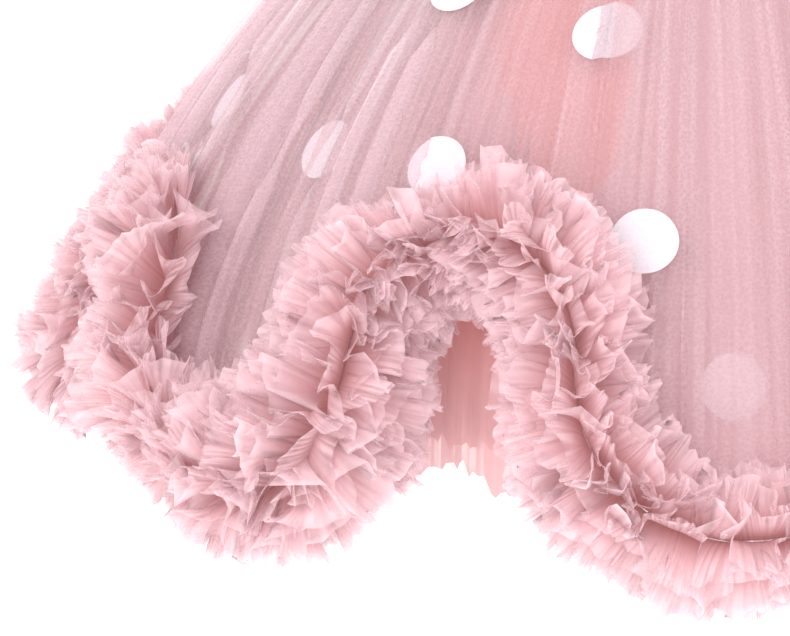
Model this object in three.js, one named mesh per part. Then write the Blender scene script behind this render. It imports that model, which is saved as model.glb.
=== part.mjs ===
// Toddler party dress: a plain stretch bodice, a bell skirt of gathered net over an underskirt,
// and a thick ruffle sewn round the hem in deep waves. It keeps the shape that it has when worn.
// Millimetres, +Z up. The origin lies midway between the tops of the two shoulders, the front
// faces -Y, and heights are negative because all of the dress hangs below the shoulders.
import * as THREE from "three";

// Sizes of the whole dress
const WAIST_HEIGHT = -200;
const SKIRT_LENGTH = 330;
const WAIST_REACH = 100;
const HEM_REACH = 303;
const BELL_POWER = 1.9;
const WAIST_DEPTH_SHARE = 0.86;
const HEM_DEPTH_SHARE = 0.95;
const SEAM_GAP = 0.3;

// Outer skirt of gathered net
const NET_WALL = 1.5;
const PLEAT_COUNT = 60;
const PLEAT_AT_WAIST = 0.6;
const PLEAT_DEPTH = 4;
const SKIRT_ROWS = [
  { share: 0, pleat: PLEAT_AT_WAIST },
  { share: 0.1, pleat: PLEAT_DEPTH * 0.7 },
  { share: 0.3, pleat: PLEAT_DEPTH },
  { share: 0.55, pleat: PLEAT_DEPTH },
  { share: 0.8, pleat: PLEAT_DEPTH * 0.8 },
  { share: 1, pleat: 0 },
];

// Underskirt, a plainer and denser layer that fills the bell from inside
const UNDERSKIRT_WALL = 1.5;
const UNDERSKIRT_HEIGHT = -502;
const UNDERSKIRT_REACH = 232;
const UNDERSKIRT_BELL_POWER = 2.2;
const UNDERSKIRT_WAVES = 20;
const UNDERSKIRT_WAVE_DEPTH = 6;
const UNDERSKIRT_ROW_SHARES = [0, 0.25, 0.5, 0.75, 1];

// Hem ruffle: its seam line swings down and up about the leg height, one row for each half wave,
// going round from the left side past the front
const RUFFLE_START_ANGLE = -106;
const LEG_HEIGHT = -437;
const FOLDS = [
  { end: -83, rise: -52, lean: 0 },
  { end: -60, rise: 42, lean: 0.5 },
  { end: -32, rise: -68, lean: 3.5 },
  { end: -10, rise: 50, lean: 0 },
  { end: 20, rise: -72, lean: 0 },
  { end: 46, rise: 50, lean: -1 },
  { end: 74, rise: -58, lean: 1 },
  { end: 98, rise: 48, lean: 0 },
  { end: 126, rise: -62, lean: 1.5 },
  { end: 150, rise: 50, lean: 0 },
  { end: 178, rise: -60, lean: -1.5 },
  { end: 202, rise: 48, lean: 1 },
  { end: 230, rise: -64, lean: 0 },
  { end: 254, rise: 49, lean: 0 },
];
const RUFFLE_LENGTHS_PER_FOLD = 2;
const SECTIONS_PER_LENGTH = 5;
const RUFFLE_CORE_RADIUS = 8;
const RUFFLE_LAYER_HALF_WALL = 1;
const RUFFLE_SLOT_ANGLE = 22;
const RUFFLE_SWING_ANGLE = 11;
// Layers of the ruffle: the angle of each from the skirt's side, turning outwards, and its width
const RUFFLE_LAYERS = [
  { angle: 45, width: 36 },
  { angle: 112, width: 38 },
  { angle: 180, width: 36 },
  { angle: 248, width: 37 },
  { angle: 315, width: 34 },
];
const RUFFLE_WIDTH_CHANGE = 1.5;
const EDGE_GAP = 0.8;

// Bodice: straight up from the waist to the chest, then over the shoulders in two straps
const BODICE_WALL = 1.5;
const CHEST_HEIGHT = -104;
const CHEST_REACH = 102;
const STRAP_INNER_REACH = 52;
const SHOULDER_SLOPE = 0.22;
const BODICE_ROW_SHARES = [0, 0.1, 0.22, 0.36, 0.52, 0.76, 1];
// Upper edge of the bodice, from the centre of the neck to the side seam
const FRONT_EDGE = [
  { angle: 0, height: -66 },
  { angle: 10, height: -64 },
  { angle: 18, height: -54 },
  { angle: 24, height: -38 },
  { angle: 28, height: -18 },
  { angle: 31, height: 0 },
  { angle: 43, height: 0 },
  { angle: 56, height: 0 },
  { angle: 60, height: -28 },
  { angle: 64, height: -55 },
  { angle: 70, height: -81 },
  { angle: 78, height: -98 },
  { angle: 90, height: -104 },
];
const BACK_NECK_SHARE = 0.62;

const WARM_PINK = 0xf4b8c0;
const DEEP_PINK = 0xe98f96;
const PALE_PINK = 0xf3bcc4;

const radians = THREE.MathUtils.degToRad;
const mix = THREE.MathUtils.lerp;
const clamp = THREE.MathUtils.clamp;

// The bell surface that the net and the ruffle's seam line lie on
function bellShare(height) {
  return clamp((WAIST_HEIGHT - height) / SKIRT_LENGTH, 0, 1);
}

function bellReach(height) {
  const spread = 1 - (1 - bellShare(height)) ** BELL_POWER;
  return mix(WAIST_REACH, HEM_REACH, spread);
}

function ellipsePoint(angle, height, reach, depthShare) {
  const turn = radians(angle);
  return new THREE.Vector3(reach * Math.sin(turn), -reach * depthShare * Math.cos(turn), height);
}

function bellPoint(angle, height, standOut = 0) {
  const depthShare = mix(WAIST_DEPTH_SHARE, HEM_DEPTH_SHARE, bellShare(height));
  return ellipsePoint(angle, height, bellReach(height) + standOut, depthShare);
}

// Outward direction of a smooth surface that is given by an angle and a height
function outward(surface, angle, height) {
  const angleStep = 0.5;
  const heightStep = 0.5;
  const along = surface(angle + angleStep, height).sub(surface(angle - angleStep, height));
  const up = surface(angle, height + heightStep).sub(surface(angle, height - heightStep));
  return along.cross(up).normalize();
}

const bellOutward = (angle, height) => outward(bellPoint, angle, height);

// A point of the ruffle's seam line. The place counts folds, so 2.5 is the middle of the third
function seamLinePoint(place) {
  const turns = Math.floor(place / FOLDS.length);
  const wrapped = place - turns * FOLDS.length;
  const number = Math.floor(wrapped);
  const fold = FOLDS[number];
  const start = number === 0 ? RUFFLE_START_ANGLE : FOLDS[number - 1].end;
  const phase = Math.PI * (wrapped - number);
  const middle = (start + fold.end) / 2;
  const half = (fold.end - start) / 2;
  const angle = 360 * turns + middle - half * Math.cos(phase) + fold.lean * Math.sin(phase) ** 2;
  const height = LEG_HEIGHT + fold.rise * Math.sin(phase);
  return { angle, height, point: bellPoint(angle, height) };
}

const LENGTH_COUNT = FOLDS.length * RUFFLE_LENGTHS_PER_FOLD;
const SECTION_COUNT = LENGTH_COUNT * SECTIONS_PER_LENGTH;
const SEAM_LINE = Array.from({ length: SECTION_COUNT + 1 }, (_, index) =>
  seamLinePoint((index * FOLDS.length) / SECTION_COUNT)
);

// How far a point lies from the seam line
const seamStretch = new THREE.Line3();
const nearestOnSeam = new THREE.Vector3();
function distanceToSeamLine(point) {
  let nearest = Infinity;
  for (let index = 0; index < SECTION_COUNT; index += 1) {
    seamStretch.set(SEAM_LINE[index].point, SEAM_LINE[index + 1].point);
    seamStretch.closestPointToPoint(point, true, nearestOnSeam);
    nearest = Math.min(nearest, nearestOnSeam.distanceTo(point));
  }
  return nearest;
}

// Height of the seam line at an angle, which it passes once because no fold leans past its ends
function seamHeight(angle) {
  const wrapped = THREE.MathUtils.euclideanModulo(angle - RUFFLE_START_ANGLE, 360) + RUFFLE_START_ANGLE;
  const next = SEAM_LINE.findIndex((seam, index) => index > 0 && seam.angle >= wrapped);
  const before = SEAM_LINE[next - 1];
  const share = (wrapped - before.angle) / (SEAM_LINE[next].angle - before.angle);
  return mix(before.height, SEAM_LINE[next].height, share);
}

// Lowest edge of the net that is clear of the ruffle's core, at each angle and between them
const CORE_FLOOR = RUFFLE_CORE_RADIUS * Math.cos(radians(RUFFLE_SLOT_ANGLE));
function netEdgeHeights(angles) {
  const heightStep = 0.25;
  const heights = angles.map((angle) => {
    let height = seamHeight(angle);
    while (distanceToSeamLine(bellPoint(angle, height)) < CORE_FLOOR + EDGE_GAP) height += heightStep;
    return height;
  });
  const betweenShares = [0.2, 0.4, 0.6, 0.8];
  let isClear = false;
  while (!isClear) {
    isClear = true;
    for (let column = 1; column < angles.length; column += 1) {
      const before = bellPoint(angles[column - 1], heights[column - 1]);
      const after = bellPoint(angles[column], heights[column]);
      const nearest = Math.min(
        ...betweenShares.map((share) => distanceToSeamLine(before.clone().lerp(after, share)))
      );
      if (nearest < CORE_FLOOR + 2 * SEAM_GAP) {
        isClear = false;
        heights[column - 1] += heightStep;
        heights[column] += heightStep;
      }
    }
  }
  return heights;
}

// A closed wall from matching rows of outer and inner points, top row first
function wallGeometry(outerRows, innerRows) {
  const rowCount = outerRows.length;
  const columnCount = outerRows[0].length;
  const outerPoints = outerRows.flat();
  const points = outerPoints.concat(innerRows.flat());
  const innerStart = outerPoints.length;
  const at = (row, column) => row * columnCount + column;
  const triangles = [];
  const addQuad = (a, b, c, d) => triangles.push(a, b, c, a, c, d);
  for (let row = 0; row < rowCount - 1; row += 1) {
    for (let column = 0; column < columnCount - 1; column += 1) {
      const topLeft = at(row, column);
      let corners = [topLeft, at(row + 1, column), at(row + 1, column + 1), at(row, column + 1)];
      const [a, b, c, d] = corners.map((corner) => outerPoints[corner]);
      // Both faces are split along the shorter diagonal of the outer one
      if (b.distanceTo(d) < a.distanceTo(c)) corners = [...corners.slice(1), topLeft];
      addQuad(...corners);
      const [first, ...others] = corners.map((corner) => corner + innerStart);
      addQuad(first, ...others.reverse());
    }
  }
  const rim = [];
  for (let row = 0; row < rowCount - 1; row += 1) rim.push(at(row, 0));
  for (let column = 0; column < columnCount - 1; column += 1) rim.push(at(rowCount - 1, column));
  for (let row = rowCount - 1; row > 0; row -= 1) rim.push(at(row, columnCount - 1));
  for (let column = columnCount - 1; column > 0; column -= 1) rim.push(at(0, column));
  rim.forEach((corner, index) => {
    const next = rim[(index + 1) % rim.length];
    addQuad(next, corner, corner + innerStart, next + innerStart);
  });
  return meshGeometry(points, triangles);
}

function meshGeometry(points, triangles) {
  const geometry = new THREE.BufferGeometry();
  geometry.setFromPoints(points);
  geometry.setIndex(triangles);
  geometry.computeVertexNormals();
  return geometry;
}

// One half of a garment layer: side is -1 for the front and 1 for the back. Half of the seam's
// gap is taken from each half by moving it away from the side seams, which no inner point passes
function halfWall(surface, facing, rows, angles, side, wall, heightOf, standOutOf) {
  const shift = new THREE.Vector3(0, (side * SEAM_GAP) / 2, 0);
  const outerRows = rows.map((row) =>
    angles.map((angle) => surface(angle, heightOf(angle, row), standOutOf(angle, row)).add(shift))
  );
  const innerRows = rows.map((row, rowIndex) =>
    angles.map((angle, column) => {
      const inward = facing(angle, heightOf(angle, row)).multiplyScalar(-wall);
      const inner = outerRows[rowIndex][column].clone().add(inward);
      inner.y = side * Math.max(side * inner.y, side * shift.y);
      return inner;
    })
  );
  return wallGeometry(outerRows, innerRows);
}

// A zigzag that is 1 on each ridge and -1 in each hollow
function zigzag(angle, count) {
  const phase = THREE.MathUtils.euclideanModulo((angle * count) / 360, 1);
  return 4 * Math.abs(phase - 0.5) - 1;
}

// Evenly spread angles from one side seam to the other, with the front's middle at 0
function evenAngles(side, columnCount) {
  const start = side < 0 ? -90 : 90;
  return Array.from({ length: columnCount + 1 }, (_, index) => start + (180 * index) / columnCount);
}

function netSkirtHalf(side) {
  const angles = evenAngles(side, PLEAT_COUNT);
  const first = angles[0];
  const last = angles[angles.length - 1];
  const closest = 0.5;
  // More columns where the hem climbs steeply from a trough to a crest
  const steepShares = [-0.29, -0.17, 0, 0.17, 0.29];
  for (let fold = 0; fold < FOLDS.length; fold += 1) {
    for (const share of steepShares) {
      let angle = seamLinePoint(fold + share).angle;
      if (angle < first) angle += 360;
      const crowded = angles.some((other) => Math.abs(other - angle) < closest);
      if (angle < last && !crowded) angles.push(angle);
    }
  }
  angles.sort((a, b) => a - b);
  const heights = netEdgeHeights(angles);
  const edgeHeights = new Map(angles.map((angle, column) => [angle, heights[column]]));
  const top = WAIST_HEIGHT - SEAM_GAP / 2;
  const heightOf = (angle, row) => mix(top, edgeHeights.get(angle), row.share);
  const standOutOf = (angle, row) => row.pleat * zigzag(angle, PLEAT_COUNT);
  return halfWall(bellPoint, bellOutward, SKIRT_ROWS, angles, side, NET_WALL, heightOf, standOutOf);
}

// The underskirt is a smaller bell, and its hem stands in soft flutes
const UNDERSKIRT_TOP_REACH = WAIST_REACH - NET_WALL - PLEAT_AT_WAIST - 2 * SEAM_GAP;
function underskirtPoint(angle, height, standOut = 0) {
  const share = clamp((WAIST_HEIGHT - height) / (WAIST_HEIGHT - UNDERSKIRT_HEIGHT), 0, 1);
  const spread = 1 - (1 - share) ** UNDERSKIRT_BELL_POWER;
  const reach = mix(UNDERSKIRT_TOP_REACH, UNDERSKIRT_REACH, spread) + standOut;
  return ellipsePoint(angle, height, reach, mix(WAIST_DEPTH_SHARE, HEM_DEPTH_SHARE, share));
}

function underskirtHalf(side) {
  const columnsPerWave = 4;
  const angles = evenAngles(side, (UNDERSKIRT_WAVES * columnsPerWave) / 2);
  const top = WAIST_HEIGHT - SEAM_GAP / 2;
  const heightOf = (angle, share) => mix(top, UNDERSKIRT_HEIGHT, share);
  const wave = (angle) => Math.cos(radians(angle * UNDERSKIRT_WAVES));
  const standOutOf = (angle, share) => UNDERSKIRT_WAVE_DEPTH * share * wave(angle);
  const facing = (angle, height) => outward(underskirtPoint, angle, height);
  const rows = UNDERSKIRT_ROW_SHARES;
  return halfWall(underskirtPoint, facing, rows, angles, side, UNDERSKIRT_WALL, heightOf, standOutOf);
}

// The shoulders slope down outwards from the inner edges of the straps
function shoulderHeight(across) {
  return -SHOULDER_SLOPE * Math.max(0, across - STRAP_INNER_REACH);
}

// Above the chest the bodice's depth falls away along a quarter of an ellipse, to nothing on the
// line of the shoulders. The crown is how high that line stands over the chest
function bodiceShape(angle, height) {
  const rise = clamp((height - WAIST_HEIGHT) / (CHEST_HEIGHT - WAIST_HEIGHT), 0, 1);
  const reach = mix(WAIST_REACH, CHEST_REACH, rise);
  const crown = shoulderHeight(Math.abs(reach * Math.sin(radians(angle)))) - CHEST_HEIGHT;
  const climb = clamp((height - CHEST_HEIGHT) / crown, 0, 1);
  return { reach, crown, climb, taper: Math.sqrt(1 - climb ** 2) };
}

function bodicePoint(angle, height) {
  const { reach, taper } = bodiceShape(angle, height);
  return ellipsePoint(angle, height, reach, WAIST_DEPTH_SHARE * taper);
}

function bodiceOutward(angle, height) {
  const { reach, crown, climb, taper } = bodiceShape(angle, height);
  const across = Math.sin(radians(angle));
  const towardsFront = Math.cos(radians(angle));
  const depth = reach * WAIST_DEPTH_SHARE;
  return new THREE.Vector3(
    (across * taper ** 2) / reach,
    (-towardsFront * taper) / depth,
    (towardsFront ** 2 * climb) / crown
  ).normalize();
}

function bodiceHalf(side) {
  const centre = side < 0 ? 0 : 180;
  const edge = FRONT_EDGE.map((row) => {
    const across = CHEST_REACH * Math.sin(radians(row.angle));
    const isBackNeck = side > 0 && across < STRAP_INNER_REACH;
    const height = isBackNeck ? row.height * BACK_NECK_SHARE : row.height;
    return { angle: row.angle, height: Math.min(height, shoulderHeight(across)) };
  });
  const mirrored = edge.slice(1).map((row) => ({ angle: -row.angle, height: row.height }));
  const columns = [...mirrored.reverse(), ...edge];
  const tops = new Map(columns.map((column) => [centre + column.angle, column.height]));
  const bottom = WAIST_HEIGHT + SEAM_GAP / 2;
  const angles = [...tops.keys()];
  const heightOf = (angle, share) => mix(tops.get(angle), bottom, share);
  const flat = () => 0;
  const rows = BODICE_ROW_SHARES;
  return halfWall(bodicePoint, bodiceOutward, rows, angles, side, BODICE_WALL, heightOf, flat);
}

// Outline of the ruffle across its seam line: layers of gathered net fanned round a core, with a
// slot on the side where the skirt comes in. Each point is an angle from that side and a radius
const POINTS_PER_LAYER = 3;
function ruffleOutline(isOdd) {
  const outline = [{ angle: RUFFLE_SLOT_ANGLE, radius: RUFFLE_CORE_RADIUS }];
  RUFFLE_LAYERS.forEach((layer, index) => {
    const turn = (index % 2 === 0) === isOdd ? 1 : -1;
    const angle = layer.angle + turn * RUFFLE_SWING_ANGLE;
    const radius = layer.width + turn * RUFFLE_WIDTH_CHANGE;
    const halfWall = THREE.MathUtils.radToDeg(RUFFLE_LAYER_HALF_WALL / radius);
    outline.push({ angle: angle - halfWall, radius }, { angle: angle + halfWall, radius });
    const next = RUFFLE_LAYERS[index + 1];
    const hollow = next ? (layer.angle + next.angle) / 2 : 360 - RUFFLE_SLOT_ANGLE;
    outline.push({ angle: hollow, radius: RUFFLE_CORE_RADIUS });
  });
  return outline;
}

// Points of one section of the ruffle, its centre last
function ruffleSection(index, shift) {
  const place = (index * FOLDS.length) / SECTION_COUNT;
  const step = 0.01;
  const seam = seamLinePoint(place);
  const along = seamLinePoint(place + step).point.sub(seamLinePoint(place - step).point).normalize();
  const facing = outward(bellPoint, seam.angle, seam.height);
  const toSkirt = facing.clone().cross(along).normalize();
  const out = along.clone().cross(toSkirt).normalize();
  const centre = seam.point.clone().addScaledVector(along, shift);
  const points = ruffleOutline(index % 2 === 1).map(({ angle, radius }) =>
    centre
      .clone()
      .addScaledVector(toSkirt, radius * Math.cos(radians(angle)))
      .addScaledVector(out, radius * Math.sin(radians(angle)))
  );
  return [...points, centre];
}

function ruffleLength(number) {
  const sections = [];
  for (let step = 0; step <= SECTIONS_PER_LENGTH; step += 1) {
    let shift = 0;
    if (step === 0) shift = SEAM_GAP / 2;
    if (step === SECTIONS_PER_LENGTH) shift = -SEAM_GAP / 2;
    sections.push(ruffleSection(number * SECTIONS_PER_LENGTH + step, shift));
  }
  const around = sections[0].length - 1;
  const stride = around + 1;
  const triangles = [];
  for (let corner = 0; corner < around; corner += 1) {
    const next = (corner + 1) % around;
    // Both faces of a twisted layer are split from its root on one section to its tip on the next
    const goesInwards = corner % POINTS_PER_LAYER === POINTS_PER_LAYER - 1;
    for (let step = 0; step < SECTIONS_PER_LENGTH; step += 1) {
      const near = step * stride;
      const far = near + stride;
      if (goesInwards) {
        triangles.push(near + corner, near + next, far + corner);
        triangles.push(near + next, far + next, far + corner);
      } else {
        triangles.push(near + corner, near + next, far + next);
        triangles.push(near + corner, far + next, far + corner);
      }
    }
    const last = SECTIONS_PER_LENGTH * stride;
    triangles.push(around, next, corner);
    triangles.push(last + around, last + corner, last + next);
  }
  return meshGeometry(sections.flat(), triangles);
}

function cloth(color, roughness) {
  return new THREE.MeshStandardMaterial({ color, roughness, metalness: 0 });
}

const dress = new THREE.Group();
function addPiece(name, geometry, material) {
  const piece = new THREE.Mesh(geometry, material);
  piece.name = name;
  dress.add(piece);
}

const HALVES = [
  { name: "front", side: -1 },
  { name: "back", side: 1 },
];
for (const half of HALVES) {
  addPiece(`bodice_${half.name}`, bodiceHalf(half.side), cloth(WARM_PINK, 0.8));
  addPiece(`skirt_net_${half.name}`, netSkirtHalf(half.side), cloth(WARM_PINK, 0.7));
  addPiece(`underskirt_${half.name}`, underskirtHalf(half.side), cloth(DEEP_PINK, 0.75));
}
for (let number = 0; number < LENGTH_COUNT; number += 1) {
  const label = String(number + 1).padStart(2, "0");
  addPiece(`hem_ruffle_${label}`, ruffleLength(number), cloth(PALE_PINK, 0.75));
}

export default dress;
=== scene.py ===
"""Looks of the toddler party dress: sheer pleated net with flocked spots, an underskirt, a plain
stretch bodice and a thick hem ruffle of gathered net in deep waves. Metres, +Z up, front at -Y."""

import math

import bmesh
import bpy
import numpy as np
from mathutils import Matrix, Vector


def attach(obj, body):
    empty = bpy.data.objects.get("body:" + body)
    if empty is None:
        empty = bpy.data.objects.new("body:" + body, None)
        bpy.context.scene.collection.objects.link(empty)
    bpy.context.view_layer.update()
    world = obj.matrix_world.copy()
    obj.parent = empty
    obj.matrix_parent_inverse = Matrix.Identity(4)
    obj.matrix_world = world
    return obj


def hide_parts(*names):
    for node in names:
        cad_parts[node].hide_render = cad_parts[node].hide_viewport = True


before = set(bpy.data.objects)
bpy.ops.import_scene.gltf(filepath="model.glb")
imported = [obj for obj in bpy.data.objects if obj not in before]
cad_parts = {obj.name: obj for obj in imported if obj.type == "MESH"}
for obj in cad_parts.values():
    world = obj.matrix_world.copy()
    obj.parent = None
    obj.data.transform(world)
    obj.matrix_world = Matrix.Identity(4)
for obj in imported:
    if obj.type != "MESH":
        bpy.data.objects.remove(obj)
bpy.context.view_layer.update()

MM = 0.001

# The photograph's frame and the view of it
PHOTO_WIDTH = 790
SENSOR_WIDTH = 36.0
CAMERA_DISTANCE = 2.0
CAMERA_ELEVATION = math.radians(10.5)
VIEW_TARGET = Vector((-0.1475, 0.0, -0.466))
METRES_PER_PIXEL = 0.0005

# Sizes of the dress, the same as the solids'
WAIST_HEIGHT = -200 * MM
SKIRT_LENGTH = 330 * MM
WAIST_REACH = 100 * MM
HEM_REACH = 303 * MM
MIDDLE_REACH = 240 * MM
BELL_POWER = 1.9
WAIST_DEPTH_SHARE = 0.86
HEM_DEPTH_SHARE = 0.95
SEAM_GAP = 0.3 * MM
UNDERSKIRT_HEIGHT = -502 * MM
UNDERSKIRT_TOP_REACH = 97.3 * MM
UNDERSKIRT_REACH = 232 * MM
UNDERSKIRT_BELL_POWER = 2.2
UNDERSKIRT_WAVES = 20
UNDERSKIRT_WAVE_DEPTH = 6 * MM
CHEST_HEIGHT = -104 * MM
CHEST_REACH = 102 * MM
STRAP_INNER_REACH = 52 * MM
SHOULDER_SLOPE = 0.22
BACK_NECK_SHARE = 0.62

# Upper edge of the bodice from the middle of the neck to the side seam: angle and height in mm
FRONT_EDGE = [
    (0, -66), (10, -64), (18, -54), (24, -38), (28, -18), (31, 0), (43, 0), (56, 0),
    (60, -28), (64, -55), (70, -81), (78, -98), (90, -104),
]

# Half waves of the hem's seam line, round from the left side past the front: the angle where each
# ends, how far its middle rises over the leg height in mm, and how far the middle leans in degrees
RUFFLE_START_ANGLE = -106
LEG_HEIGHT = -437 * MM
FOLDS = [
    (-83, -52, 0), (-60, 42, 0.5), (-32, -68, 3.5), (-10, 50, 0), (20, -72, 0), (46, 50, -1), (74, -58, 1),
    (98, 48, 0), (126, -62, 1.5), (150, 50, 0), (178, -60, -1.5), (202, 48, 1), (230, -64, 0), (254, 49, 0),
]
FOLD_COUNT = len(FOLDS)
FOLD_ENDS = np.array([row[0] for row in FOLDS], float)
FOLD_STARTS = np.concatenate(([RUFFLE_START_ANGLE], FOLD_ENDS[:-1]))
FOLD_RISES = np.array([row[1] for row in FOLDS]) * MM
FOLD_LEANS = np.array([row[2] for row in FOLDS], float)

# Folds that the camera sees best get more layers and finer columns
NEAR_FOLDS = (0, 1, 2, 3, 4, 5, 13)

# Flocked spots in sight of the camera: angle, height in mm, the share of the width, from -1 to 1,
# that lies under a fold of the net (2 to 2 where none does), and how deep it lies there in mm
SPOT_RADIUS = 15 * MM
SEEN_SPOTS = [
    (-4.5, -386, 2, 2, 0), (-27.5, -360, -2, -0.55, 3), (-45.6, -360, -2, 2, 10), (-70.5, -348, -2, 2, 3),
    (-11.2, -302, -0.25, 2, 11), (-34.5, -285, 2, 2, 0), (4, -448, -2, 2, 17),
]

# A frayed end of the second net that hangs out below the ruffle
NET_END_ANGLE = -2
NET_END_HALF_WIDTH = 5.5
NET_END_HEIGHT = -547 * MM


def bell_share(height):
    return np.clip((WAIST_HEIGHT - height) / SKIRT_LENGTH, 0, 1)


def bell_reach(height):
    spread = 1 - (1 - bell_share(height)) ** BELL_POWER
    return WAIST_REACH + (HEM_REACH - WAIST_REACH) * spread


def ellipse_points(angle, height, reach, depth_share):
    turn = np.radians(angle)
    return np.stack((reach * np.sin(turn), -reach * depth_share * np.cos(turn), height + 0 * turn), axis=-1)


def bell_points(angle, height, stand_out=0.0):
    depth_share = WAIST_DEPTH_SHARE + (HEM_DEPTH_SHARE - WAIST_DEPTH_SHARE) * bell_share(height)
    return ellipse_points(angle, height, bell_reach(height) + stand_out, depth_share)


def underskirt_points(angle, height, stand_out=0.0):
    share = np.clip((WAIST_HEIGHT - height) / (WAIST_HEIGHT - UNDERSKIRT_HEIGHT), 0, 1)
    spread = 1 - (1 - share) ** UNDERSKIRT_BELL_POWER
    reach = UNDERSKIRT_TOP_REACH + (UNDERSKIRT_REACH - UNDERSKIRT_TOP_REACH) * spread
    depth_share = WAIST_DEPTH_SHARE + (HEM_DEPTH_SHARE - WAIST_DEPTH_SHARE) * share
    return ellipse_points(angle, height, reach + stand_out, depth_share)


def unit(vectors):
    return vectors / np.linalg.norm(vectors, axis=-1, keepdims=True)


def bell_outward(angle, height):
    step = 0.5
    along = bell_points(angle + step, height) - bell_points(angle - step, height)
    up = bell_points(angle, height + step * MM) - bell_points(angle, height - step * MM)
    return unit(np.cross(along, up))


def seam_angle_height(place):
    """The hem's seam line: place counts half waves, so 2.5 is the middle of the third."""
    turns = np.floor(place / FOLD_COUNT)
    wrapped = place - turns * FOLD_COUNT
    number = np.minimum(wrapped.astype(int), FOLD_COUNT - 1)
    phase = np.pi * (wrapped - number)
    start, end = FOLD_STARTS[number], FOLD_ENDS[number]
    angle = (start + end) / 2 - (end - start) / 2 * np.cos(phase) + FOLD_LEANS[number] * np.sin(phase) ** 2
    return 360 * turns + angle, LEG_HEIGHT + FOLD_RISES[number] * np.sin(phase)


def seam_frame(place):
    """Point of the seam line, with the directions along it, towards the skirt and outwards."""
    step = 0.01
    angle, height = seam_angle_height(place)
    before = bell_points(*seam_angle_height(place - step))
    after = bell_points(*seam_angle_height(place + step))
    along = unit(after - before)
    to_skirt = unit(np.cross(bell_outward(angle, height), along))
    return bell_points(angle, height), along, to_skirt, np.cross(along, to_skirt)


SEAM_PLACES = np.linspace(0, FOLD_COUNT, FOLD_COUNT * 200 + 1)
SEAM_ANGLES, SEAM_HEIGHTS = seam_angle_height(SEAM_PLACES)
SEAM_ANGLES[-1] = RUFFLE_START_ANGLE + 360
SEAM_RUN = np.concatenate(
    ([0], np.cumsum(np.linalg.norm(np.diff(bell_points(SEAM_ANGLES, SEAM_HEIGHTS), axis=0), axis=1)))
)


def hem_height(angle):
    """Height of the hem's seam line at an angle."""
    wrapped = np.mod(angle - RUFFLE_START_ANGLE, 360) + RUFFLE_START_ANGLE
    return np.interp(wrapped, SEAM_ANGLES, SEAM_HEIGHTS)


def ring_noise(turns, seed, slowest, fastest, terms=7):
    """Smooth noise from -1 to 1 that closes on itself after one turn round the dress."""
    chance = np.random.default_rng(seed)
    speeds = chance.integers(slowest, fastest + 1, terms)
    starts = chance.uniform(0, 2 * np.pi, terms)
    waves = [np.sin(2 * np.pi * speed * turns + start) for speed, start in zip(speeds, starts)]
    return sum(waves) / math.sqrt(2 * terms)


def mix(low, high, share):
    return low + (high - low) * share


def smooth_step(low, high, value):
    share = np.clip((value - low) / (high - low), 0, 1)
    return share * share * (3 - 2 * share)


def cloth_piece(name, grids, shape, material):
    """Flat grids of cloth, each with its columns and rows, bent into shape. The shape takes each
    point's share across, its share down and its grid's number, and gives the places, the flat
    measures in metres and the attributes that the material reads."""
    bm = bmesh.new()
    for number, (columns, rows) in enumerate(grids):
        spot = Matrix.Translation((0.5, 0.5, number))
        bmesh.ops.create_grid(bm, x_segments=columns, y_segments=rows, size=0.5, matrix=spot)
    mesh = bpy.data.meshes.new(name)
    bm.to_mesh(mesh)
    bm.free()
    flat = np.empty(len(mesh.vertices) * 3)
    mesh.vertices.foreach_get("co", flat)
    across, up, number = flat.reshape(-1, 3).T
    points, measures, attributes = shape(across, 1 - up, np.rint(number).astype(int))
    mesh.vertices.foreach_set("co", points.ravel())
    mesh.polygons.foreach_set("use_smooth", np.ones(len(mesh.polygons), bool))
    corners = np.empty(len(mesh.loops), int)
    mesh.loops.foreach_get("vertex_index", corners)
    uv = mesh.uv_layers.new(name="cloth")
    uv.data.foreach_set("uv", measures[corners].ravel())
    for key, values in attributes.items():
        mesh.attributes.new(key, "FLOAT", "POINT").data.foreach_set("value", values)
    mesh.materials.append(material)
    mesh.update()
    piece = bpy.data.objects.new(name, mesh)
    bpy.context.collection.objects.link(piece)
    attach(piece, "root")
    return piece


# Materials

def linear(hex_colour):
    """A colour from its sRGB hex value to linear light."""
    channels = [int(hex_colour[start : start + 2], 16) / 255 for start in (1, 3, 5)]
    return [c / 12.92 if c <= 0.04045 else ((c + 0.055) / 1.055) ** 2.4 for c in channels] + [1.0]


def add_node(tree, kind, inputs=None, **settings):
    """Adds a node with its settings; an input is a value or the socket that it is linked to."""
    node = tree.nodes.new(kind)
    for key, value in settings.items():
        setattr(node, key, value)
    for socket, value in (inputs or {}).items():
        if isinstance(value, bpy.types.NodeSocket):
            tree.links.new(value, node.inputs[socket])
        else:
            node.inputs[socket].default_value = value
    return node


def new_material(name):
    material = bpy.data.materials.new(name)
    material.use_nodes = True
    material.node_tree.nodes.clear()
    return material, material.node_tree


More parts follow.
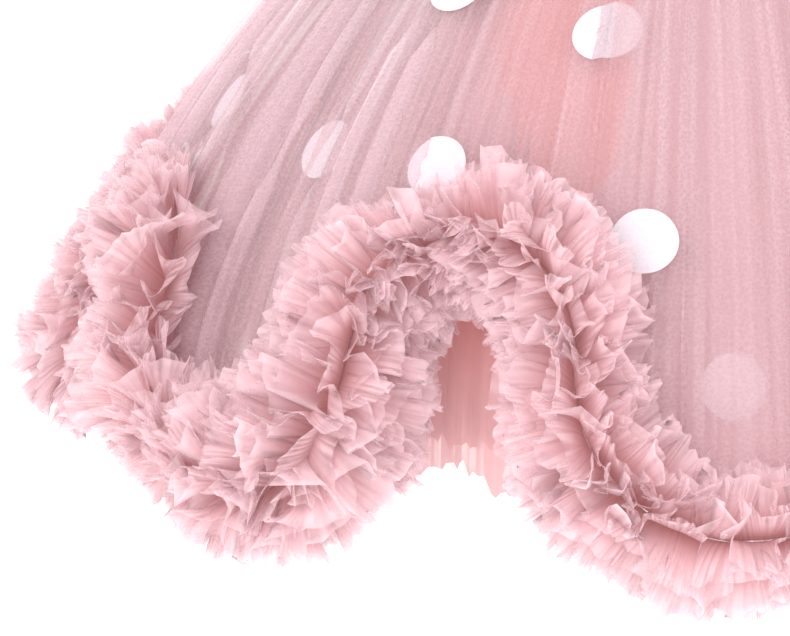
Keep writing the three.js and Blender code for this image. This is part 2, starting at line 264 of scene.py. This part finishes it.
def net_material(
    name, deep, pale, edge, densities, fade_power, streak_scale, streak_highlight_share, weave_share, line_width, painted_glow_strength
):
    """Fine soft nylon net. It is see-through between its threads, it glows where light comes
    through it, and it shows fine streaks along its gathers. Its streaks carry painted highlights, its fold
    and cut edges are whitened as painted sheen, and an emission adds painted glow."""
    material, tree = new_material(name)
    tip = add_node(tree, "ShaderNodeAttribute", attribute_name="tip").outputs["Fac"]
    turn = add_node(tree, "ShaderNodeAttribute", attribute_name="turn").outputs["Fac"]
    edge_sheen = add_node(tree, "ShaderNodeAttribute", attribute_name="edge_sheen").outputs["Fac"]
    cloth = add_node(tree, "ShaderNodeUVMap", uv_map="cloth").outputs["UV"]

    # Gathers crease the net in lines 1 to 3 mm apart, which run with the gathers
    stretched = add_node(
        tree, "ShaderNodeVectorMath", {0: cloth, 1: streak_scale}, operation="MULTIPLY"
    ).outputs[0]
    streaks = add_node(
        tree, "ShaderNodeTexNoise", {"Vector": stretched, "Scale": 1.0, "Detail": 1.0}, noise_dimensions="2D"
    ).outputs["Fac"]
    streaks = add_node(
        tree, "ShaderNodeMapRange", {"Value": streaks, "From Min": 0.32, "From Max": 0.68}
    ).outputs["Result"]

    # A fold's edge, or a cut edge, is where the turn is nothing
    line = add_node(tree, "ShaderNodeMath", {0: turn}, operation="ABSOLUTE").outputs[0]
    line = add_node(
        tree, "ShaderNodeMapRange", {"Value": line, "From Max": line_width, "To Min": 1.0, "To Max": 0.0}
    ).outputs["Result"]
    line = add_node(tree, "ShaderNodeMath", {0: line, 1: edge_sheen}, operation="MULTIPLY").outputs[0]

    # The colour runs from the first colour at the start to the second at the end; on the ruffle and the underskirt
    # this is painted shade towards the roots and the top
    colour = add_node(
        tree, "ShaderNodeMix", {0: tip, 6: linear(deep), 7: linear(pale)}, data_type="RGBA"
    ).outputs[2]
    # Painted highlight: the streaks lighten the colour towards pale pink, standing in for light on the fine creases;
    # their part in the density is the net's own
    crease_highlight = add_node(tree, "ShaderNodeMath", {0: streaks, 1: streak_highlight_share}, operation="MULTIPLY").outputs[0]
    colour = add_node(
        tree, "ShaderNodeMix", {0: crease_highlight, 6: colour, 7: linear("#FFECEF")}, data_type="RGBA"
    ).outputs[2]
    # Painted sheen: fold and cut edges are whitened towards the edge colour, standing in for the light caught along
    # them
    colour = add_node(
        tree, "ShaderNodeMix", {0: line, 6: colour, 7: linear(edge)}, data_type="RGBA"
    ).outputs[2]

    # The net thins out, and its threads part, towards a cut edge
    fade = add_node(tree, "ShaderNodeMath", {0: tip, 1: fade_power}, operation="POWER").outputs[0]
    density = add_node(
        tree, "ShaderNodeMapRange", {"Value": fade, "To Min": densities[0], "To Max": densities[1]}
    ).outputs["Result"]
    thinnest = add_node(
        tree, "ShaderNodeMapRange", {"Value": fade, "To Min": 0.8, "To Max": densities[2]}
    ).outputs["Result"]
    woven = add_node(
        tree, "ShaderNodeMapRange", {"Value": streaks, "To Min": thinnest, "To Max": 1.25}
    ).outputs["Result"]
    density = add_node(tree, "ShaderNodeMath", {0: density, 1: woven}, operation="MULTIPLY").outputs[0]
    if weave_share:
        # The mesh of the net is 1 mm wide; it is drawn at 1.6 mm, so that it shows at this distance
        mesh_width = 1.6 * MM
        cells = add_node(
            tree, "ShaderNodeTexVoronoi", {"Vector": cloth, "Scale": 1 / mesh_width},
            feature="F1", voronoi_dimensions="2D"
        ).outputs["Distance"]
        thread = add_node(
            tree, "ShaderNodeMapRange",
            {"Value": cells, "From Min": 0.1, "From Max": 0.7, "To Min": 1 - weave_share,
             "To Max": 1 + weave_share}
        ).outputs["Result"]
        density = add_node(tree, "ShaderNodeMath", {0: density, 1: thread}, operation="MULTIPLY").outputs[0]
    density = add_node(
        tree, "ShaderNodeMath", {0: line, 1: 0.6, 2: density}, operation="MULTIPLY_ADD", use_clamp=True
    ).outputs[0]

    # The emission is painted glow: it stands in for the light that many layers of net pass on to each other beyond
    # the two bounces that are followed
    surface = add_node(
        tree, "ShaderNodeBsdfPrincipled",
        {"Base Color": colour, "Roughness": 0.7, "IOR": 1.53, "Sheen Weight": 0.2, "Sheen Roughness": 0.4,
         "Specular IOR Level": 0.2, "Emission Color": colour, "Emission Strength": painted_glow_strength},
    ).outputs["BSDF"]
    glow = add_node(tree, "ShaderNodeBsdfTranslucent", {"Color": colour}).outputs["BSDF"]
    threads = add_node(tree, "ShaderNodeMixShader", {"Fac": 0.55, 1: surface, 2: glow}).outputs[0]
    holes = add_node(tree, "ShaderNodeBsdfTransparent").outputs["BSDF"]
    whole = add_node(tree, "ShaderNodeMixShader", {"Fac": density, 1: holes, 2: threads}).outputs[0]
    add_node(tree, "ShaderNodeOutputMaterial", {"Surface": whole})
    return material


def flock_material():
    """White flock: short cut nylon fibres glued upright. It is matt, with a fine brushed crinkle."""
    material, tree = new_material("white_flock")
    place = add_node(tree, "ShaderNodeTexCoord").outputs["Object"]
    wander = add_node(
        tree, "ShaderNodeTexNoise", {"Vector": place, "Scale": 160.0, "Detail": 3.0}
    ).outputs["Color"]
    bent = add_node(
        tree, "ShaderNodeVectorMath", {0: wander, 1: (0.012, 0.012, 0.012)}, operation="MULTIPLY"
    ).outputs[0]
    bent = add_node(tree, "ShaderNodeVectorMath", {0: place, 1: bent}, operation="ADD").outputs[0]
    crinkle = add_node(
        tree, "ShaderNodeTexNoise", {"Vector": bent, "Scale": 420.0, "Detail": 4.0}
    ).outputs["Fac"]
    relief = add_node(
        tree, "ShaderNodeBump", {"Height": crinkle, "Strength": 0.5, "Distance": 0.6 * MM}
    ).outputs["Normal"]
    colour = add_node(
        tree, "ShaderNodeMix", {0: crinkle, 6: linear("#C9BDC4"), 7: linear("#D9CFD5")}, data_type="RGBA"
    ).outputs[2]
    surface = add_node(
        tree, "ShaderNodeBsdfPrincipled",
        {"Base Color": colour, "Roughness": 0.9, "Sheen Weight": 0.4, "Normal": relief,
         "Specular IOR Level": 0.2},
    ).outputs["BSDF"]
    add_node(tree, "ShaderNodeOutputMaterial", {"Surface": surface})
    return material


def jersey_material():
    """Cotton jersey: fine columns of knit stitches, matt, with a little stretch sheen."""
    material, tree = new_material("cotton_jersey")
    cloth = add_node(tree, "ShaderNodeUVMap", uv_map="cloth").outputs["UV"]
    # Knit columns are 0.8 mm apart; they are drawn at 1.6 mm, so that they show
    columns = add_node(
        tree, "ShaderNodeTexWave",
        {"Vector": cloth, "Scale": 0.314 / (1.6 * MM) / 2, "Distortion": 1.2, "Detail": 1.0}
    ).outputs["Fac"]
    mottle = add_node(
        tree, "ShaderNodeTexNoise", {"Vector": cloth, "Scale": 60.0, "Detail": 3.0}
    ).outputs["Fac"]
    relief = add_node(
        tree, "ShaderNodeBump", {"Height": columns, "Strength": 0.4, "Distance": 0.3 * MM}
    ).outputs["Normal"]
    colour = add_node(
        tree, "ShaderNodeMix", {0: mottle, 6: linear("#DC9CA4"), 7: linear("#E6ADB5")}, data_type="RGBA"
    ).outputs[2]
    surface = add_node(
        tree, "ShaderNodeBsdfPrincipled",
        {"Base Color": colour, "Roughness": 0.8, "Sheen Weight": 0.3, "Normal": relief,
         "Specular IOR Level": 0.3},
    ).outputs["BSDF"]
    add_node(tree, "ShaderNodeOutputMaterial", {"Surface": surface})
    return material


PLEAT_STREAKS = (250.0, 5.0, 1.0)
RUFFLE_STREAKS = (520.0, 14.0, 1.0)
# Each net's density is given at its start, at its end, and between the threads at its end
OUTER_NET = net_material(
    "soft_nylon_net_outer", deep="#F6DFE6", pale="#F6D5DD", edge="#FFFAFA", densities=(0.34, 0.34, 0.85),
    fade_power=1.0, streak_scale=PLEAT_STREAKS, streak_highlight_share=0.15, weave_share=0.16, line_width=0.14,
    painted_glow_strength=0.0)
# The second and third nets are the same net as the outer one; their deeper pinks are painted shade for lying under
# the outer layers
SECOND_NET = net_material(
    "soft_nylon_net_second", deep="#F7D8DD", pale="#F7CDD2", edge="#FFFAFA", densities=(0.46, 0.5, 0.85),
    fade_power=1.0, streak_scale=PLEAT_STREAKS, streak_highlight_share=0.15, weave_share=0.12, line_width=0.14,
    painted_glow_strength=0.0)
THIRD_NET = net_material(
    "soft_nylon_net_third", deep="#F2CDD2", pale="#F2C1C7", edge="#FFF4F5", densities=(1.3, 1.3, 0.9),
    fade_power=1.0, streak_scale=PLEAT_STREAKS, streak_highlight_share=0.15, weave_share=0.0, line_width=0.14,
    painted_glow_strength=0.0)
# Painted shade and light: the ruffle deepens towards its roots, where its layers shade each other, and pales towards
# its tips as painted highlight
RUFFLE_NET = net_material(
    "soft_nylon_net_ruffle", deep="#EDADAE", pale="#F2D2D9", edge="#FFE3E8", densities=(1.1, 0.45, 0.3),
    fade_power=3.6, streak_scale=RUFFLE_STREAKS, streak_highlight_share=0.18, weave_share=0.0, line_width=0.1,
    painted_glow_strength=0.24)
# Painted shade: the underskirt is deep salmon over its upper half, where it lies in the skirt's shade, and paler
# towards its hem
UNDERSKIRT_CLOTH = net_material(
    "underskirt_net", deep="#F89A90", pale="#E4B6B8", edge="#F6D6D8", densities=(1.3, 0.95, 0.85),
    fade_power=5.0, streak_scale=PLEAT_STREAKS, streak_highlight_share=0.1, weave_share=0.0, line_width=0.02,
    painted_glow_strength=0.16)
FLOCK = flock_material()
JERSEY = jersey_material()


# Skirts of net

def spots():
    """All flocked spots: the ones in sight, then staggered rows on the rest of the skirt."""
    rows = [(-246, 0), (-302, 12), (-366, 0), (-428, 12)]
    found = list(SEEN_SPOTS)
    spacing = 24
    for height, stagger in rows:
        for number in range(360 // spacing):
            angle = 22 + stagger + spacing * number
            is_seen_side = angle > 258 and height < -250
            room = height * MM - hem_height(np.array([float(angle)]))[0]
            if not is_seen_side and room > 26 * MM:
                found.append((angle, height + 5 * math.sin(angle), 2, 2, 0))
    return found


SPOTS = spots()


def spot_calm(angle, height):
    """How far the pleats are laid flat by a stiff spot, from 0 to 1."""
    calm = np.zeros_like(angle + height)
    for spot_angle, spot_height, *_ in SPOTS:
        turn = np.radians(np.mod(angle - spot_angle + 180, 360) - 180)
        reach = bell_reach(spot_height * MM)
        distance = np.hypot(turn * reach, height - spot_height * MM)
        calm = np.maximum(calm, 1 - smooth_step(0.9 * SPOT_RADIUS, 2.0 * SPOT_RADIUS, distance))
    return calm


def pleated_net(angle, height, down, count, seed, stand_out, depth, flat_spots):
    """Knife pleats from the waist: each fold laps back over the next by an uneven amount. Also
    gives the turned angle, where each fold turns back, and how strongly painted sheen whitens its edge."""
    turns = angle / 360
    phase = count * turns + 0.8 * ring_noise(turns, seed, 5, 40) + 0.03 * np.sin(9 * down + 40 * turns)
    cycle = 2 * np.pi * phase
    lap = 1.45 + 0.7 * ring_noise(turns, seed + 1, 8, 60)
    lap = lap + 0.2 * ring_noise(turns + 0.02 * down, seed + 2, 60, 120)
    height_of_fold = depth * (0.7 + 0.4 * ring_noise(turns, seed + 3, 9, 50))
    from_front = np.abs(np.mod(angle + 180, 360) - 180)
    fullness = mix(0.45, 1.0, smooth_step(16, 44, from_front))
    strength = fullness * smooth_step(-0.12, 0.35, down) * (1 - 0.35 * smooth_step(0.75, 1.0, down))
    if flat_spots:
        strength = strength * (1 - spot_calm(angle, height))
    turned = angle - lap * strength * np.sin(cycle) * 360 / (2 * np.pi * count)
    out = stand_out * smooth_step(0, 0.6, down) + height_of_fold * strength * np.sin(cycle + 0.5)
    sway = 3.5 * MM * down * ring_noise(turns, seed + 4, 4, 14)
    turn = 1 - lap * strength * np.cos(cycle)
    uneven = 0.7 + 0.55 * ring_noise(turns + 0.01 * down, seed + 5, 9, 70)
    # Painted sheen on the fold edges, stronger towards the sides and uneven at random
    edge_sheen = np.clip(mix(0.15, 1.0, smooth_step(20, 50, from_front)) * uneven * strength, 0, 1)
    return bell_points(turned, height, out + sway), turned, turn, edge_sheen


def outer_net_points(angle, height, down):
    return pleated_net(angle, height, down, 66, 11, 2 * MM, 6.5 * MM, True)


def second_net_points(angle, height, down):
    return pleated_net(angle, height, down, 47, 31, -11 * MM, 6 * MM, False)


def third_net_points(angle, height, down):
    return pleated_net(angle, height, down, 38, 61, -31 * MM, 5 * MM, False)


def second_net_bottom(angle, bottom):
    """The second net's lower edge, with the frayed end that hangs out below the ruffle."""
    share = np.abs(angle - NET_END_ANGLE) / NET_END_HALF_WIDTH
    end_height = NET_END_HEIGHT + 2.5 * MM * ring_noise(angle / 360, 81, 60, 200)
    return mix(end_height, bottom, smooth_step(0.75, 1.0, share))


def net_half(name, side, grid, points_of, hem_rise, material):
    start = -90 if side == "front" else 90
    top = WAIST_HEIGHT - SEAM_GAP / 2

    def shape(across, down, number):
        angle = start + 180 * across
        bottom = hem_height(angle) + hem_rise
        if points_of is second_net_points:
            bottom = second_net_bottom(angle, bottom)
        height = mix(top, bottom, down)
        points, turned, turn, edge_sheen = points_of(angle, height, down)
        measures = np.stack((np.radians(turned) * MIDDLE_REACH, height), axis=-1)
        return points, measures, {"tip": down, "turn": turn, "edge_sheen": edge_sheen}

    return cloth_piece(name, [grid], shape, material)


for side in ("front", "back"):
    outer = net_half(f"skirt_net_{side}_outer", side, (600, 40), outer_net_points, -4 * MM, OUTER_NET)
    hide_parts(f"skirt_net_{side}")
    second = net_half(f"skirt_net_{side}_second", side, (400, 30), second_net_points, -2 * MM, SECOND_NET)
    third = net_half(f"skirt_net_{side}_third", side, (300, 26), third_net_points, 4 * MM, THIRD_NET)


def spot_piece():
    """Every flocked spot, on the outer net. Part of a spot may lie under a fold of the net."""
    def shape(across, down, number):
        table = np.array(SPOTS)
        side, rise = 2 * across - 1, 1 - 2 * down
        column = side
        stretch = np.maximum(np.abs(side), np.abs(rise)) / np.maximum(np.hypot(side, rise), 1e-9)
        side, rise = side * stretch, rise * stretch
        middle_angle, middle_height, under_from, under_to, depth = table[number].T
        middle_height = middle_height * MM
        slope = (bell_reach(middle_height - MM) - bell_reach(middle_height + MM)) / (2 * MM)
        angle = middle_angle + np.degrees(side * SPOT_RADIUS / bell_reach(middle_height))
        height = middle_height + rise * SPOT_RADIUS / np.hypot(1, slope)
        bottom = hem_height(angle) - 4 * MM
        points, *_ = outer_net_points(angle, height, (WAIST_HEIGHT - height) / (WAIST_HEIGHT - bottom))
        is_under = (column > under_from) & (column < under_to)
        lift = np.where(is_under, -depth, 0.8) * MM
        level_outward = unit(points * np.array((1.0, 1.0, 0.0)))
        points = points + level_outward * lift[:, None]
        measures = np.stack((side * SPOT_RADIUS, rise * SPOT_RADIUS), axis=-1)
        return points, measures, {}

    return cloth_piece("flocked_spots", [(14, 14)] * len(SPOTS), shape, FLOCK)


flocked_spots = spot_piece()


# Underskirt

def underskirt_half(side, name, seed, stand_out, hem_rise):
    start = -90 if side == "front" else 90
    top = WAIST_HEIGHT - SEAM_GAP / 2

    def shape(across, down, number):
        angle = start + 180 * across
        turns = angle / 360
        chance = np.random.default_rng(seed)
        fray = 1.6 * MM * chance.uniform(-1, 1, len(turns)) * (down > 0.99)
        ragged = (3 * ring_noise(turns, seed + 1, 60, 200) + 4 * ring_noise(turns, seed + 5, 12, 30)) * MM
        height = mix(top, UNDERSKIRT_HEIGHT + hem_rise, down) + ragged * smooth_step(0.85, 1.0, down) + fray
        cycle = 2 * np.pi * (UNDERSKIRT_WAVES * turns + 0.25 * ring_noise(turns, seed + 2, 3, 12))
        flute = UNDERSKIRT_WAVE_DEPTH * down * np.cos(cycle)
        gathers = 1.3 * MM * smooth_step(0, 0.3, down) * ring_noise(turns + 0.002 * down, seed + 3, 60, 110)
        points = underskirt_points(angle, height, stand_out * down + flute + gathers)
        measures = np.stack((np.radians(angle) * MIDDLE_REACH, height), axis=-1)
        # Faint painted sheen along the hem, uneven at random
        edge_sheen = np.clip(0.1 + 0.2 * ring_noise(turns, seed + 4, 30, 90), 0, 1)
        return points, measures, {"tip": smooth_step(0.5, 1.0, down), "turn": 1 - down, "edge_sheen": edge_sheen}

    piece = cloth_piece(name, [(320, 22)], shape, UNDERSKIRT_CLOTH)
    return piece


for side in ("front", "back"):
    under = underskirt_half(side, f"underskirt_{side}_net", 51, -1 * MM, 0)
    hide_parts(f"underskirt_{side}")
    underskirt_half(side, f"underskirt_{side}_top_net", 71, 7 * MM, 16 * MM)


# Hem ruffle

RUFFLE_ROOT = 2.5 * MM
RUFFLE_WIDTH = 37 * MM
NEAR_LAYERS = 22
NEAR_GRID = (210, 6)
FAR_LAYERS = 15
FAR_GRID = (150, 5)
FIRST_LAYER_ANGLE = 24
LAST_LAYER_ANGLE = 336
WAVES_ROUND = 100
GATHER_RATIO = 1.7
SKIRT_SIDE_ANGLE = 14
# Where the fluff is longer or shorter than usual: place on the seam line, and the share of the
# width on its free side and on its skirt side
FLUFF_SHARES = np.array([
    (0, 1.2, 1), (0.6, 1.2, 1), (1.0, 1.0, 0.9), (1.3, 0.62, 0.62), (1.5, 0.75, 0.72), (1.65, 0.95, 1.0),
    (1.8, 1.1, 1.5), (1.95, 1, 1.6), (2.15, 1.08, 1.35), (2.3, 0.7, 1.35), (2.5, 0.95, 1.6), (2.65, 1.1, 1.5),
    (2.78, 1.35, 1.35), (2.95, 1.2, 1.15), (3.1, 1.08, 1.1), (3.24, 1.03, 1.0), (3.3, 1, 0.72),
    (3.44, 1, 0.72), (3.5, 1, 1.03), (4.1, 1.05, 1.05), (4.25, 1.12, 1), (4.6, 0.88, 0.9), (5, 1, 1), (13, 1, 1), (14, 1.2, 1),
])


def ruffle_layer(turns, out, layer_angle, seed):
    """One layer of the ruffle: net gathered along the seam line. It opens into soft petals, which
    part along the middle and fall over to the skirt's side or to the free side."""
    place = turns * FOLD_COUNT
    centre, along, to_skirt, outwards = seam_frame(place)
    chance = np.random.default_rng(seed)
    parting = 95 + 26 * ring_noise(turns, 901, 14, 60)
    fall = 7 + 16 * ring_noise(turns, 902, 14, 50) + 10 * ring_noise(turns, seed + 9, 20, 70)
    to_skirt_side = -fall * (layer_angle - SKIRT_SIDE_ANGLE) / (parting - SKIRT_SIDE_ANGLE)
    to_free_side = fall * np.clip(1 - (layer_angle - parting) / 180, 0, 1)
    bend = np.where(layer_angle < parting, to_skirt_side, to_free_side)
    waves = WAVES_ROUND + int(chance.integers(-20, 20))
    cycle = 2 * np.pi * (waves * turns + 0.7 * ring_noise(turns, seed + 1, 30, 110))
    clump = 13 * ring_noise(turns, seed + 2, 14, 60)
    swing = (11 + 5 * ring_noise(turns, seed + 4, 20, 80)) * np.sin(cycle)
    crimp = 1.3 * ring_noise(turns, seed + 3, 320, 640, 9)
    curl = 9 * ring_noise(turns, seed + 5, 25, 90)
    angle = layer_angle + (clump + swing + crimp) * out + (bend + curl) * out ** 1.8
    angle = np.radians(np.maximum(angle, SKIRT_SIDE_ANGLE - 4))
    fray = chance.uniform(-1, 1, len(turns)) * 3 * MM * (out > 0.99)
    lobes = 0.93 + 0.13 * ring_noise(turns, seed + 6, 40, 130) + 0.06 * ring_noise(turns, 903, 20, 50)
    places, free_shares, skirt_shares = FLUFF_SHARES.T
    is_free_side = smooth_step(50, 115, layer_angle)
    share = mix(np.interp(place, places, skirt_shares), np.interp(place, places, free_shares), is_free_side)
    radius = mix(RUFFLE_ROOT, RUFFLE_WIDTH * share * lobes + fray, out)
    lean = MM * out * (5 * np.sin(2 * cycle + 1) + 5 * ring_noise(turns, seed + 7, 40, 150))
    direction = to_skirt * np.cos(angle)[:, None] + outwards * np.sin(angle)[:, None]
    # Painted sheen on the petals' cut edges, uneven at random
    edge_sheen = np.clip(0.15 + 0.6 * ring_noise(turns, seed + 8, 40, 200), 0, 1)
    return centre + direction * radius[:, None] + along * lean[:, None], edge_sheen


def ruffle_wave(fold_number):
    """One half wave of the ruffle: many layers of gathered net, fanned round the seam line."""
    is_near = fold_number in NEAR_FOLDS
    layer_count = NEAR_LAYERS if is_near else FAR_LAYERS
    grid = NEAR_GRID if is_near else FAR_GRID

    def shape(across, down, number):
        place = fold_number + across
        layer_angle = mix(FIRST_LAYER_ANGLE, LAST_LAYER_ANGLE, number / (layer_count - 1))
        points = np.empty((len(place), 3))
        edge_sheen = np.empty(len(place))
        for layer in range(layer_count):
            here = number == layer
            seed = 1000 * layer_count + 10 * layer
            points[here], edge_sheen[here] = ruffle_layer(
                place[here] / FOLD_COUNT, down[here], layer_angle[here][0], seed
            )
        length = np.interp(place, SEAM_PLACES, SEAM_RUN)
        measures = np.stack((length * GATHER_RATIO, down * RUFFLE_WIDTH + 0.1 * number), axis=-1)
        return points, measures, {"tip": down, "turn": 1 - down, "edge_sheen": edge_sheen}

    piece = cloth_piece(
        f"hem_ruffle_wave_{fold_number + 1:02d}", [grid] * layer_count, shape, RUFFLE_NET
    )
    first_node = 2 * fold_number + 1
    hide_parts(f"hem_ruffle_{first_node:02d}", f"hem_ruffle_{first_node + 1:02d}")


for fold_number in range(FOLD_COUNT):
    ruffle_wave(fold_number)


# Bodice

def shoulder_height(across):
    return -SHOULDER_SLOPE * np.maximum(0, across - STRAP_INNER_REACH)


def bodice_points(angle, height):
    rise = np.clip((height - WAIST_HEIGHT) / (CHEST_HEIGHT - WAIST_HEIGHT), 0, 1)
    reach = mix(WAIST_REACH, CHEST_REACH, rise)
    crown = shoulder_height(np.abs(reach * np.sin(np.radians(angle)))) - CHEST_HEIGHT
    climb = np.clip((height - CHEST_HEIGHT) / crown, 0, 1)
    return ellipse_points(angle, height, reach, WAIST_DEPTH_SHARE * np.sqrt(1 - climb ** 2))


def bodice_edge(side):
    """Angles and heights of the upper edge from the middle to the side, evened out."""
    angles = np.arange(0, 90.5, 0.5)
    heights = np.interp(angles, [row[0] for row in FRONT_EDGE], [row[1] * MM for row in FRONT_EDGE])
    across = CHEST_REACH * np.sin(np.radians(angles))
    if side == "back":
        heights = np.where(across < STRAP_INNER_REACH, heights * BACK_NECK_SHARE, heights)
    smoothed = np.convolve(np.pad(heights, 3, mode="reflect"), np.full(7, 1 / 7), mode="valid")
    on_strap = (across > STRAP_INNER_REACH) & (angles < 56)
    heights = np.where(on_strap, heights, smoothed)
    return angles, np.minimum(heights, shoulder_height(across))


def bodice_half(side):
    centre = 0 if side == "front" else 180
    edge_angles, edge_heights = bodice_edge(side)
    bottom = WAIST_HEIGHT + SEAM_GAP / 2

    def shape(across, down, number):
        turn = 180 * across - 90
        top = np.interp(np.abs(turn), edge_angles, edge_heights)
        height = mix(top, bottom, down ** 1.6)
        points = bodice_points(centre + turn, height)
        measures = np.stack((np.radians(turn) * CHEST_REACH, height), axis=-1)
        return points, measures, {}

    piece = cloth_piece(f"bodice_{side}_jersey", [(120, 24)], shape, JERSEY)
    wall = piece.modifiers.new("wall", "SOLIDIFY")
    wall.thickness = 1.4 * MM
    wall.offset = -1
    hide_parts(f"bodice_{side}")


for side in ("front", "back"):
    bodice_half(side)


# Floor, light and camera

def pale_floor():
    material, tree = new_material("pale_floor")
    surface = add_node(
        tree, "ShaderNodeBsdfPrincipled",
        {"Base Color": linear("#FFFFFF"), "Roughness": 1.0, "Specular IOR Level": 0.0,
         "Emission Color": linear("#FFFFFF"), "Emission Strength": 0.3}
    ).outputs["BSDF"]
    add_node(tree, "ShaderNodeOutputMaterial", {"Surface": surface})
    bm = bmesh.new()
    bmesh.ops.create_grid(bm, x_segments=1, y_segments=1, size=9.0, matrix=Matrix.Translation((0, 0, -0.9)))
    mesh = bpy.data.meshes.new("floor")
    bm.to_mesh(mesh)
    bm.free()
    mesh.materials.append(material)
    floor = bpy.data.objects.new("floor", mesh)
    bpy.context.collection.objects.link(floor)


def soft_light(name, place, size, power):
    light = bpy.data.lights.new(name, "AREA")
    light.shape = "SQUARE"
    light.size = size
    light.energy = power
    lamp = bpy.data.objects.new(name, light)
    lamp.location = place
    lamp.rotation_euler = (Vector((0, 0, -0.4)) - Vector(place)).to_track_quat("-Z", "Y").to_euler()
    bpy.context.collection.objects.link(lamp)


def studio():
    pale_floor()
    world = bpy.data.worlds.new("studio")
    bpy.context.scene.world = world
    bpy.context.scene.view_settings.view_transform = "Standard"
    # Light goes through up to eight layers of net, and is passed on twice between them
    bpy.context.scene.cycles.transparent_max_bounces = 8
    bpy.context.scene.cycles.max_bounces = 2
    world.use_nodes = True
    world.node_tree.nodes["Background"].inputs["Color"].default_value = (1, 1, 1, 1)
    world.node_tree.nodes["Background"].inputs["Strength"].default_value = 0.95
    soft_light("front", (-0.4, -2.3, 0.3), 1.6, 31)
    soft_light("key", (-1.8, -1.4, 1.4), 1.6, 24)
    soft_light("right", (2.2, -0.6, 0.6), 1.8, 14)
    soft_light("back", (0.4, 2.3, 0.9), 1.8, 30)


def photo_camera():
    camera = bpy.data.cameras.new("photo_camera")
    camera.sensor_width = SENSOR_WIDTH
    place = Vector((
        0,
        -CAMERA_DISTANCE * math.cos(CAMERA_ELEVATION),
        VIEW_TARGET.z + CAMERA_DISTANCE * math.sin(CAMERA_ELEVATION),
    ))
    distance = (VIEW_TARGET - place).length
    camera.lens = distance / METRES_PER_PIXEL / PHOTO_WIDTH * SENSOR_WIDTH
    eye = bpy.data.objects.new("photo_camera", camera)
    eye.location = place
    eye.rotation_euler = (VIEW_TARGET - place).to_track_quat("-Z", "Y").to_euler()
    bpy.context.collection.objects.link(eye)
    bpy.context.scene.camera = eye


studio()
photo_camera()
